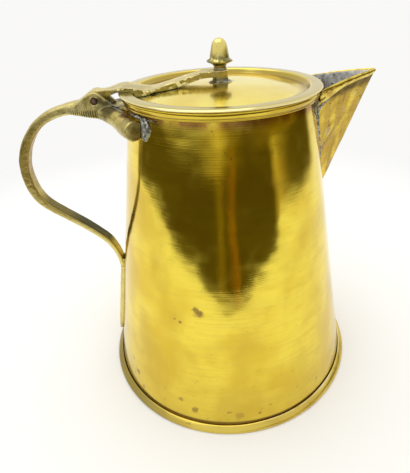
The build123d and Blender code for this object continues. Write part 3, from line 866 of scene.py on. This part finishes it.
# Lid: a raised disc of sheet with a flat rim, a recess that drops into the mouth and a low
# dome. The rim is rubbed pale with a painted highlight on its outer edge, and painted shade
# lies along the foot of the recess.
LID_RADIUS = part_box("lid_plate")[1][0] / MM
LID_RIM_Z = 205.1
LID_UNDER_Z = 203.7
RECESS_RADIUS = 52.4
RECESS_Z = 201.9
DOME_RADIUS = 45.0
DOME_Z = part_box("lid_plate")[1][2] / MM
LID_SHEET = 1.0
STEM_RADIUS = 2.3
DOME_RINGS = 28
DOME_WIDTH = DOME_RADIUS - STEM_RADIUS


def dome_height(radius):
    """Top of the dome at a radius: a shallow arc from its middle down to the recess."""
    return DOME_Z - (DOME_Z - RECESS_Z) * (radius / DOME_RADIUS) ** 2


def from_middle(finish, place):
    """How far a place is from the middle, in millimetres."""
    length = finish.node_tree.nodes.new("ShaderNodeVectorMath")
    length.operation = "LENGTH"
    finish.node_tree.links.new(place, length.inputs[0])
    return length.outputs["Value"]


dome_line = [STEM_RADIUS + DOME_WIDTH * ring / DOME_RINGS for ring in range(DOME_RINGS + 1)]
lid_top = [(radius, dome_height(radius)) for radius in dome_line[1:]]
lid_side = [
    (RECESS_RADIUS - 2.6, RECESS_Z),
    (RECESS_RADIUS - 1.5, RECESS_Z + 0.25),
    (RECESS_RADIUS - 0.7, RECESS_Z + 1.4),
    (RECESS_RADIUS - 0.2, LID_RIM_Z - 0.7),
    (RECESS_RADIUS + 0.3, LID_RIM_Z - 0.15),
    (RECESS_RADIUS + 1.2, LID_RIM_Z),
    (LID_RADIUS - 1.4, LID_RIM_Z),
    (LID_RADIUS - 0.5, LID_RIM_Z - 0.2),
    (LID_RADIUS - 0.05, (LID_RIM_Z + LID_UNDER_Z) / 2),
    (LID_RADIUS - 0.5, LID_UNDER_Z + 0.1),
    (LID_RADIUS - 1.2, LID_UNDER_Z),
    (RECESS_RADIUS + LID_SHEET, LID_UNDER_Z),
    (RECESS_RADIUS - 0.8, RECESS_Z - LID_SHEET),
]
lid_under = [(radius, dome_height(radius) - LID_SHEET) for radius in reversed(dome_line)]
lid = start_ring("lid_sheet", STEM_RADIUS, dome_height(STEM_RADIUS), sides=192)
draw_rings(
    (STEM_RADIUS, dome_height(STEM_RADIUS)),
    [*lid_top, *lid_side, *lid_under, (STEM_RADIUS, dome_height(STEM_RADIUS))],
)
close_piece(lid)
hand_work(lid, 34, 0.3, "Z")
bpy.ops.object.shade_smooth_by_angle(angle=math.radians(40))

lid_brass = sheet_brass("lid_brass", bright=(0.96, 0.82, 0.18), warm=(0.84, 0.62, 0.09))
lid_radius = from_middle(lid_brass, own_place(lid_brass, stretch=(1, 1, 0)))
rim_wear = between(lid_brass, lid_radius, RECESS_RADIUS, RECESS_RADIUS + 1.5)
lay_over(lid_brass, rim_wear, (0.52, 0.43, 0.16), 0.8)
# Painted highlight along the rim's rounded outer edge.
outer_edge_highlight = between(lid_brass, lid_radius, LID_RADIUS - 1.1, LID_RADIUS - 0.5)
lay_over(lid_brass, outer_edge_highlight, (0.90, 0.80, 0.42), 0.6)
# Painted shade: a darker ring round the foot of the recess.
past_dome = between(lid_brass, lid_radius, RECESS_RADIUS - 8.0, RECESS_RADIUS - 2.0)
inside_rim = between(lid_brass, lid_radius, RECESS_RADIUS + 0.6, RECESS_RADIUS - 0.6)
recess_shade = times(lid_brass, past_dome, inside_rim)
lay_over(lid_brass, recess_shade, (0.36, 0.25, 0.06), 0.8)
finial_grime = stain(lid_brass, (0, 0, DOME_Z), 9.5)
lay_over(lid_brass, finial_grime, (0.30, 0.31, 0.22), 0.9)
dull(lid_brass, finial_grime, 0.5)
strap_side = combine(lid_brass, "ABSOLUTE", axis_value(lid_brass, "Y"), 0)
near_strap = between(lid_brass, strap_side, 13.0, 8.0)
near_hinge = between(lid_brass, axis_value(lid_brass, "X"), -14, -40)
beside_strap = times(lid_brass, near_strap, near_hinge)
verdigris = times(lid_brass, beside_strap, patches(lid_brass, 5, 0.35, 0.55))
lay_over(lid_brass, verdigris, (0.33, 0.42, 0.30), 0.8)
dull(lid_brass, verdigris, 0.55)
lid.data.materials.append(lid_brass)
lid.data.materials.append(tinned("lid_tin", TIN_GREY))
for face in lid.data.polygons:
    face.material_index = 1 if face.normal.z < -0.3 and face.center.xy.length < 55 * MM else 0
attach(lid, "lid")
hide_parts("lid_plate")


# Hinge strap: a waved bar that turns on the pin, crosses the rim and climbs the dome to the
# finial's stem, which goes through its eye. Cast, filed and soldered down, green at its foot.
STRAP_VOXEL = 0.28

strap = worked_copy("hinge_strap", "strap_bar", STRAP_VOXEL)
wear(strap, 24)
hand_work(strap, 8, 0.35)

strap_brass = cast_brass(
    "strap_brass", worn=(0.76, 0.64, 0.26), dark=(0.34, 0.28, 0.10), rubbed=0.15
)
# Painted shade: faces that turn sideways or down are darker; the green patches on them are
# verdigris.
strap_flank_shade = between(strap_brass, facing(strap_brass, "Z"), 0.5, -0.3)
green_flank = times(strap_brass, strap_flank_shade, patches(strap_brass, 4, 0.35, 0.7))
lay_over(strap_brass, strap_flank_shade, (0.20, 0.17, 0.06), 0.55)
lay_over(strap_brass, green_flank, (0.22, 0.25, 0.14), 0.4)
strap.data.materials.append(strap_brass)
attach(strap, "lid")
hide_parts("hinge_strap")


# Foot ring, finial and washer: a flared ring on the dome, an acorn turned on a waisted neck,
# and the washer below, on which the acorn's stem is riveted through strap, ring and lid.
RING_FOOT_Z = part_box("finial_foot")[0][2] / MM
EYE_BOTTOM_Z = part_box("finial_foot")[1][2] / MM
EYE_TOP_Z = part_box("hinge_strap")[1][2] / MM
RING_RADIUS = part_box("finial_foot")[1][0] / MM
RING_OUTLINE = [
    (RING_RADIUS - 0.1, RING_FOOT_Z + 0.3),
    (RING_RADIUS - 0.7, RING_FOOT_Z + 0.6),
    (5.0, RING_FOOT_Z + 0.85),
    (4.35, EYE_BOTTOM_Z - 1.2),
    (4.55, EYE_BOTTOM_Z),
    (STEM_RADIUS, EYE_BOTTOM_Z),
    (STEM_RADIUS, RING_FOOT_Z),
    (RING_RADIUS - 0.3, RING_FOOT_Z),
]
STEM_END_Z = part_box("finial")[0][2] / MM
FINIAL_TOP_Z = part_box("finial")[1][2] / MM
BRIM_RADIUS = 7.7
BRIM_Z = 217.4
ACORN_OUTLINE = [
    (3.6, STEM_END_Z + 0.3),
    (3.4, STEM_END_Z + 0.8),
    (STEM_RADIUS, STEM_END_Z + 1.0),
    (STEM_RADIUS, EYE_TOP_Z - 0.05),
    (4.1, EYE_TOP_Z - 0.02),
    (4.0, EYE_TOP_Z + 0.5),
    (3.6, EYE_TOP_Z + 1.3),
    (3.65, EYE_TOP_Z + 2.2),
    (4.4, EYE_TOP_Z + 3.0),
    (5.7, BRIM_Z - 0.7),
    (6.9, BRIM_Z - 0.25),
    (BRIM_RADIUS - 0.15, BRIM_Z + 0.1),
    (BRIM_RADIUS, BRIM_Z + 0.5),
    (BRIM_RADIUS - 0.4, BRIM_Z + 0.95),
    (6.5, BRIM_Z + 1.25),
    (5.75, BRIM_Z + 1.6),
    (5.6, BRIM_Z + 2.4),
    (5.35, BRIM_Z + 4.0),
    (4.95, BRIM_Z + 6.0),
    (4.45, BRIM_Z + 8.4),
    (3.8, FINIAL_TOP_Z - 2.2),
    (2.9, FINIAL_TOP_Z - 1.2),
    (1.8, FINIAL_TOP_Z - 0.6),
    (0.7, FINIAL_TOP_Z - 0.35),
]
WASHER_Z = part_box("finial_washer")[0][2] / MM
WASHER_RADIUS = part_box("finial_washer")[1][0] / MM
WASHER_OUTLINE = [
    (WASHER_RADIUS, WASHER_Z + 0.25),
    (WASHER_RADIUS, WASHER_Z + 0.75),
    (WASHER_RADIUS - 0.5, WASHER_Z + 1.0),
    (STEM_RADIUS, WASHER_Z + 1.1),
    (STEM_RADIUS, WASHER_Z),
    (WASHER_RADIUS - 0.3, WASHER_Z),
]

ring = start_ring("finial_ring", RING_RADIUS - 0.3, RING_FOOT_Z, sides=64)
draw_rings((RING_RADIUS - 0.3, RING_FOOT_Z), RING_OUTLINE)
close_piece(ring)
hand_work(ring, 3, 0.9)
bpy.ops.object.shade_smooth_by_angle(angle=math.radians(50))

acorn = start_ring("acorn_finial", 3.2, STEM_END_Z, sides=64, filled=True)
draw_rings((3.2, STEM_END_Z), ACORN_OUTLINE)
close_piece(acorn)
mark_region(acorn, "seen", lambda place: place.z > (EYE_TOP_Z + 1) * MM)
hand_work(acorn, 6, 0.6, "NORMAL", "seen")
mark_region(acorn, "brim", lambda place: abs(place.z - (BRIM_Z + 0.4) * MM) < 1.3 * MM)
hand_work(acorn, 6, 0.8, "Z", "brim")
bpy.ops.object.shade_smooth_by_angle(angle=math.radians(60))

washer = start_ring("rivet_washer", WASHER_RADIUS - 0.3, WASHER_Z, sides=48)
draw_rings((WASHER_RADIUS - 0.3, WASHER_Z), WASHER_OUTLINE)
close_piece(washer)
bpy.ops.object.shade_smooth_by_angle(angle=math.radians(40))

finial_brass = sheet_brass("finial_brass", bright=(0.86, 0.74, 0.26), warm=(0.62, 0.48, 0.10))
finial_z = axis_value(finial_brass, "Z")
below_acorn = between(finial_brass, finial_z, BRIM_Z + 6.0, BRIM_Z + 1.8)
above_eye = between(finial_brass, finial_z, EYE_TOP_Z - 0.5, EYE_TOP_Z + 0.6)
neck = times(finial_brass, below_acorn, above_eye)
# Darker in patches at the neck under the acorn.
neck_dark_patches = times(finial_brass, neck, patches(finial_brass, 2.4, 0.34, 0.54))
lay_over(finial_brass, neck_dark_patches, (0.12, 0.11, 0.04), 0.85)
# Painted shade under the brim.
under_brim_shade = between(finial_brass, finial_z, BRIM_Z + 0.2, BRIM_Z - 0.5)
lay_over(finial_brass, under_brim_shade, (0.13, 0.11, 0.08), 0.75)
# Painted reflection: the sides that face along X are darker, like dark reflections at the acorn's
# edges.
faces_end = combine(finial_brass, "ABSOLUTE", facing(finial_brass, "X"), 0)
dark_side_reflection = between(finial_brass, faces_end, 0.72, 0.95)
lay_over(finial_brass, dark_side_reflection, (0.26, 0.20, 0.05), 0.7)
ring_brass = cast_brass(
    "ring_brass", worn=(0.16, 0.16, 0.11), dark=(0.06, 0.065, 0.045), roughness=0.4
)
ring_z = axis_value(ring_brass, "Z")
ring_foot = between(ring_brass, ring_z, RING_FOOT_Z + 1.3, RING_FOOT_Z + 0.7)
grey_crumbs = times(ring_brass, ring_foot, patches(ring_brass, 1.5, 0.42, 0.56))
lay_over(ring_brass, grey_crumbs, (0.60, 0.61, 0.54), 0.85)
for piece, node, finish, slot in (
    (ring, "finial_foot", ring_brass, "brass_cast"),
    (acorn, "finial", finial_brass, "brass_cast"),
    (washer, "finial_washer", ring_brass, "brass_trim"),
):
    piece.data.materials.append(finish)
    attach(piece, "lid")
    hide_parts(node)


# Solder: dull grey beads that hold the saddle and the spout to the wall, run in by hand and
# never cleaned up.
JOINT_STEP = 5.0
JOINT_SHARES = (0.35, 0.5, 0.4, 0.6, 0.45, 0.7, 0.5, 0.65, 0.9, 0.6, 1.0, 0.8, 1.1, 1.2)
SADDLE_FOOT = [
    (33, 197.0, 0.5),
    (38, 196.6, 0.8),
    (42, 195.0, 1.1),
    (43, 192.0, 1.2),
    (42, 188.6, 1.0),
    (39, 185.6, 0.6),
]
SADDLE_FILL = [(37, 196.0, 0.8), (40, 193.0, 1.2), (40.5, 190.0, 1.1), (38, 186.5, 0.7)]
SADDLE_TOP = [
    (degrees, 196.6, share)
    for degrees, share in ((18, 0.3), (24, 0.7), (30, 1.2), (36, 1.0), (43, 0.5), (48, 0.2))
]

solder = metal("old_solder", (0.34, 0.35, 0.31), 0.36)
lay_over(solder, patches(solder, 2.5, 0.42, 0.58), (0.11, 0.11, 0.085), 0.85)
lay_over(solder, patches(solder, 1.3, 0.56, 0.64), (0.70, 0.71, 0.66), 0.8)
relief(solder, patches(solder, 1.2, 0.3, 0.7), 0.15)


def solder_bead(name, line, thickness):
    """A lumpy bead of solder along a line, fixed to the jug."""
    bead = round_bar(name, line, thickness)
    hand_work(bead, 2.5, 1.3)
    bpy.ops.object.shade_smooth()
    bead.data.materials.append(solder)
    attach(bead, "jug")


def spout_joint(height, side):
    """Where the spout's outer face meets the wall at a height."""
    radius = wall_radius(height)
    point_x = SPOUT_TIP_X - KEEL_SLOPE * (SPOUT_TIP_Z - height)
    spread = math.tan(SPOUT_HALF_ANGLE)
    squared = 1 + spread ** 2
    linear = -2 * point_x * spread ** 2
    constant = (point_x * spread) ** 2 - radius ** 2
    under_root = max(linear * linear - 4 * squared * constant, 0)
    x = (-linear + math.sqrt(under_root)) / (2 * squared)
    return (x, side * (point_x - x) * spread, height)


for side, name in ((1, "far"), (-1, "near")):
    joint_line = [
        (spout_joint(KEEL_FOOT_Z + 1.5 + step * JOINT_STEP, side), share)
        for step, share in enumerate(JOINT_SHARES)
    ]
    solder_bead(f"spout_solder_{name}", joint_line, 1.2)
    hem_x, hem_y, hem_z = hem_start
    corner_line = [
        ((hem_x - 0.4, side * (hem_y + 1.0), hem_z - 12.0), 0.6),
        ((hem_x - 0.2, side * (hem_y + 1.4), hem_z - 9.0), 0.9),
        ((hem_x + 0.6, side * (hem_y + 1.6), hem_z - 7.2), 1.0),
        ((hem_x + 3.4, side * (hem_y + 0.3), hem_z - 6.0), 0.8),
        ((hem_x + 6.4, side * (hem_y - 1.4), hem_z - 4.9), 0.4),
    ]
    solder_bead(f"corner_solder_{name}", corner_line, 0.9)
    for bead, line, out, thickness in (
        ("saddle_solder", SADDLE_FOOT, -0.3, 1.7),
        ("saddle_fill", SADDLE_FILL, -0.6, 2.6),
        ("saddle_top_solder", SADDLE_TOP, 0.4, 1.0),
    ):
        bead_line = []
        for degrees, height, share in line:
            angle = side * math.radians(degrees)
            bead_line.append((round_wall(angle, wall_radius(height) + out, height), share))
        solder_bead(f"{bead}_{name}", bead_line, thickness)


# Table and room: a pale sheet of paper on a table under the jug. Past the table's front edge
# a dim brown room shows in the brass, and nowhere else. The rest of the room is white.
LAMP_PLACE = (-0.25, 0.15, 1.3)
LAMP_WIDTH = 1.2
LAMP_POWER = 4.5
BACKGROUND = (0.95, 0.945, 0.93, 1)
PAPER = (0.96, 0.957, 0.95, 1)
TABLE_EDGE = [
    (-1100, 150),
    (-750, -100),
    (-570, -222),
    (-400, -272),
    (-240, -338),
    (-93, -314),
    (0, -302),
    (50, -318),
    (137, -372),
    (188, -352),
    (338, -352),
    (480, -398),
    (712, -515),
    (1100, -565),
]
EDGE_NEAR_Y = -600
EDGE_DEPTH = 800
TABLE_MIDDLE_X = -20
TABLE_HALF_WIDTH = 770
DIM_ROOM = (0.10, 0.08, 0.01, 1)
BROWN_ROOM = (0.24, 0.18, 0.02, 1)
ORANGE_STRIP = (0.30, 0.16, 0.01, 1)
PALE_STRIP = (0.65, 0.55, 0.25, 1)
FLOOR_TONES = [
    (0.0, DIM_ROOM),
    (0.3, DIM_ROOM),
    (0.37, BROWN_ROOM),
    (0.45, DIM_ROOM),
    (0.55, ORANGE_STRIP),
    (0.6, DIM_ROOM),
    (0.94, DIM_ROOM),
    (0.97, PALE_STRIP),
    (1.0, DIM_ROOM),
]
ROOM_TONES = [
    (0.0, DIM_ROOM),
    (0.1, DIM_ROOM),
    (0.35, PALE_STRIP),
    (0.5, BROWN_ROOM),
    (0.75, DIM_ROOM),
    (1.0, BROWN_ROOM),
]


def ramp_along(owner, along, steps):
    """A colour, or a number as a grey, that changes in steps as a share runs from 0 to 1."""
    ramp = owner.node_tree.nodes.new("ShaderNodeValToRGB")
    stops = ramp.color_ramp.elements
    while len(stops) < len(steps):
        stops.new(0.5)
    for stop, (position, colour) in zip(stops, steps):
        stop.position = position
        stop.color = colour
    owner.node_tree.links.new(along, ramp.inputs["Fac"])
    return ramp.outputs["Color"]


bpy.ops.object.select_all(action="DESELECT")
bpy.ops.mesh.primitive_plane_add(size=12, location=(0, 0, 0))
floor = bpy.context.object
floor.name = "paper_sheet"
paper = bpy.data.materials.new("pale_paper")
paper.use_nodes = True
tree = paper.node_tree
shader = tree.nodes["Principled BSDF"]
shader.inputs["Base Color"].default_value = PAPER
shader.inputs["Roughness"].default_value = 1.0
shader.inputs["Specular IOR Level"].default_value = 0.0
rays = tree.nodes.new("ShaderNodeLightPath")
floor_x = axis_value(paper, "X")
floor_y = axis_value(paper, "Y")
edge_left, edge_right = TABLE_EDGE[0][0], TABLE_EDGE[-1][0]
edge_steps = [
    ((x - edge_left) / (edge_right - edge_left), [(y - EDGE_NEAR_Y) / EDGE_DEPTH] * 3 + [1])
    for x, y in TABLE_EDGE
]
along_edge = tree.nodes.new("ShaderNodeMapRange")
along_edge.inputs["From Min"].default_value = edge_left
along_edge.inputs["From Max"].default_value = edge_right
tree.links.new(floor_x, along_edge.inputs["Value"])
edge_share = ramp_along(paper, along_edge.outputs["Result"], edge_steps)
edge_y = combine(paper, "ADD", times(paper, edge_share, EDGE_DEPTH), EDGE_NEAR_Y)
front_share = between(paper, combine(paper, "SUBTRACT", edge_y, floor_y), -9, 9)
reach = from_middle(paper, own_place(paper, start=(-TABLE_MIDDLE_X, 0, 0)))
far_off = between(paper, reach, TABLE_HALF_WIDTH - 70, TABLE_HALF_WIDTH + 70)
forward = between(paper, combine(paper, "DIVIDE", floor_y, reach), 0.46, 0.26)
off_table = combine(paper, "MAXIMUM", front_share, times(paper, far_off, forward))
dim_share = times(paper, off_table, rays.outputs["Is Glossy Ray"])
across_floor = between(paper, combine(paper, "DIVIDE", floor_x, reach), -1.0, 1.0)
dim_room = tree.nodes.new("ShaderNodeEmission")
tree.links.new(ramp_along(paper, across_floor, FLOOR_TONES), dim_room.inputs["Color"])
distance_white = tree.nodes.new("ShaderNodeEmission")
distance_white.inputs["Color"].default_value = BACKGROUND
far_away = between(paper, reach, 260, 520)
far_share = times(paper, far_away, rays.outputs["Is Camera Ray"])
with_room = tree.nodes.new("ShaderNodeMixShader")
tree.links.new(dim_share, with_room.inputs[0])
tree.links.new(shader.outputs["BSDF"], with_room.inputs[1])
tree.links.new(dim_room.outputs["Emission"], with_room.inputs[2])
with_distance = tree.nodes.new("ShaderNodeMixShader")
tree.links.new(far_share, with_distance.inputs[0])
tree.links.new(with_room.outputs["Shader"], with_distance.inputs[1])
tree.links.new(distance_white.outputs["Emission"], with_distance.inputs[2])
tree.links.new(with_distance.outputs["Shader"], tree.nodes["Material Output"].inputs["Surface"])
floor.data.materials.append(paper)

world = bpy.data.worlds.new("white_room")
bpy.context.scene.world = world
world.use_nodes = True
room = world.node_tree
heading = room.nodes.new("ShaderNodeSeparateXYZ")
room.links.new(room.nodes.new("ShaderNodeTexCoord").outputs["Generated"], heading.inputs["Vector"])
window_side = times(world, heading.outputs["X"], -0.10)
window_height = combine(world, "ADD", heading.outputs["Z"], window_side)
in_front = between(world, heading.outputs["Y"], 0.46, 0.26)
below_window = between(world, window_height, 0.17, 0.03)
dim_side = times(world, in_front, below_window)
across_room = between(world, heading.outputs["X"], -1.0, 1.0)
seen_room = room.nodes.new("ShaderNodeMix")
seen_room.data_type = "RGBA"
seen_room.inputs[6].default_value = BACKGROUND
room.links.new(dim_side, seen_room.inputs[0])
room.links.new(ramp_along(world, across_room, ROOM_TONES), seen_room.inputs[7])
by_ray = room.nodes.new("ShaderNodeMix")
by_ray.data_type = "RGBA"
by_ray.inputs[6].default_value = BACKGROUND
room.links.new(room.nodes.new("ShaderNodeLightPath").outputs["Is Glossy Ray"], by_ray.inputs[0])
room.links.new(seen_room.outputs[2], by_ray.inputs[7])
room.links.new(by_ray.outputs[2], room.nodes["Background"].inputs["Color"])
room.nodes["Background"].inputs["Strength"].default_value = 1.0

bpy.ops.object.light_add(type="AREA", location=LAMP_PLACE)
lamp = bpy.context.object
lamp.name = "soft_lamp"
lamp.data.shape = "SQUARE"
lamp.data.size = LAMP_WIDTH
lamp.data.energy = LAMP_POWER


# Camera: close to the jug and above it, as the photograph was taken.
PICTURE_WIDTH = 410
PICTURE_HEIGHT = 473
FOCAL_PIXELS = 387.77
CENTRE_X = 223.51
CENTRE_Y = 234.71
SENSOR = 36
CAMERA_PLACE = (-0.02116, -0.24181, 0.25275)
camera_data = bpy.data.cameras.new("camera")
camera = bpy.data.objects.new("camera", camera_data)
bpy.context.scene.collection.objects.link(camera)
camera_right = Vector((0.99423, -0.10133, -0.03529))
camera_up = Vector((0.08399, 0.53024, 0.84367))
camera_forward = Vector((0.06678, 0.84177, -0.53569))
camera_data.sensor_width = SENSOR
camera_data.lens = FOCAL_PIXELS / PICTURE_HEIGHT * SENSOR
camera_data.shift_x = (PICTURE_WIDTH / 2 - CENTRE_X) / PICTURE_HEIGHT
camera_data.shift_y = (CENTRE_Y - PICTURE_HEIGHT / 2) / PICTURE_HEIGHT
camera_data.clip_start = 0.01
camera_turn = Matrix((camera_right, camera_up, -camera_forward)).transposed()
camera.matrix_world = Matrix.Translation(CAMERA_PLACE) @ camera_turn.to_4x4()
bpy.context.scene.camera = camera
bpy.context.scene.view_settings.view_transform = "Standard"
